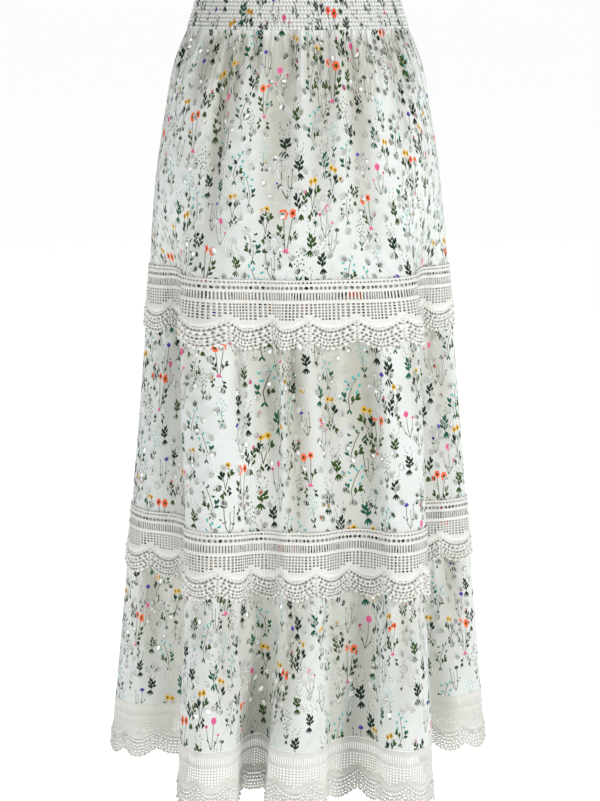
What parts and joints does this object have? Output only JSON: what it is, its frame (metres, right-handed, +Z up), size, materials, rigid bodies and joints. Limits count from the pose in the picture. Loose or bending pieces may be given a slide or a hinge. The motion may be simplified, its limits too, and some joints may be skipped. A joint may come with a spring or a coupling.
{
  "type": "tiered maxi skirt",
  "caption": "Full-length tiered skirt of printed eyelet cotton with a shirred waistband and scalloped lace bands, hanging open as worn.",
  "frame": {"origin": "middle of the waistband's opening, halfway up the waistband, where the wearer's waist holds it", "axes": "+Z up, -Y to the front of the skirt, +X to the right in the picture"},
  "size_m": [0.4883, 0.409, 0.9872],
  "materials": {
    "cotton": "matte woven eyelet cotton, printed with small flowers",
    "smocking": "matte shirred cotton",
    "lace": "soft corded cotton lace"
  },
  "bodies": {
    "root": {"waistband_front": "smocking", "waistband_back": "smocking", "upper_tier_front": "cotton", "upper_tier_back": "cotton", "middle_tier_front": "cotton", "middle_tier_back": "cotton", "lower_tier_front": "cotton", "lower_tier_back": "cotton", "upper_lace_front": "lace", "upper_lace_back": "lace", "lower_lace_front": "lace", "lower_lace_back": "lace", "hem_lace_front": "lace", "hem_lace_back": "lace"}
  },
  "joints": []
}
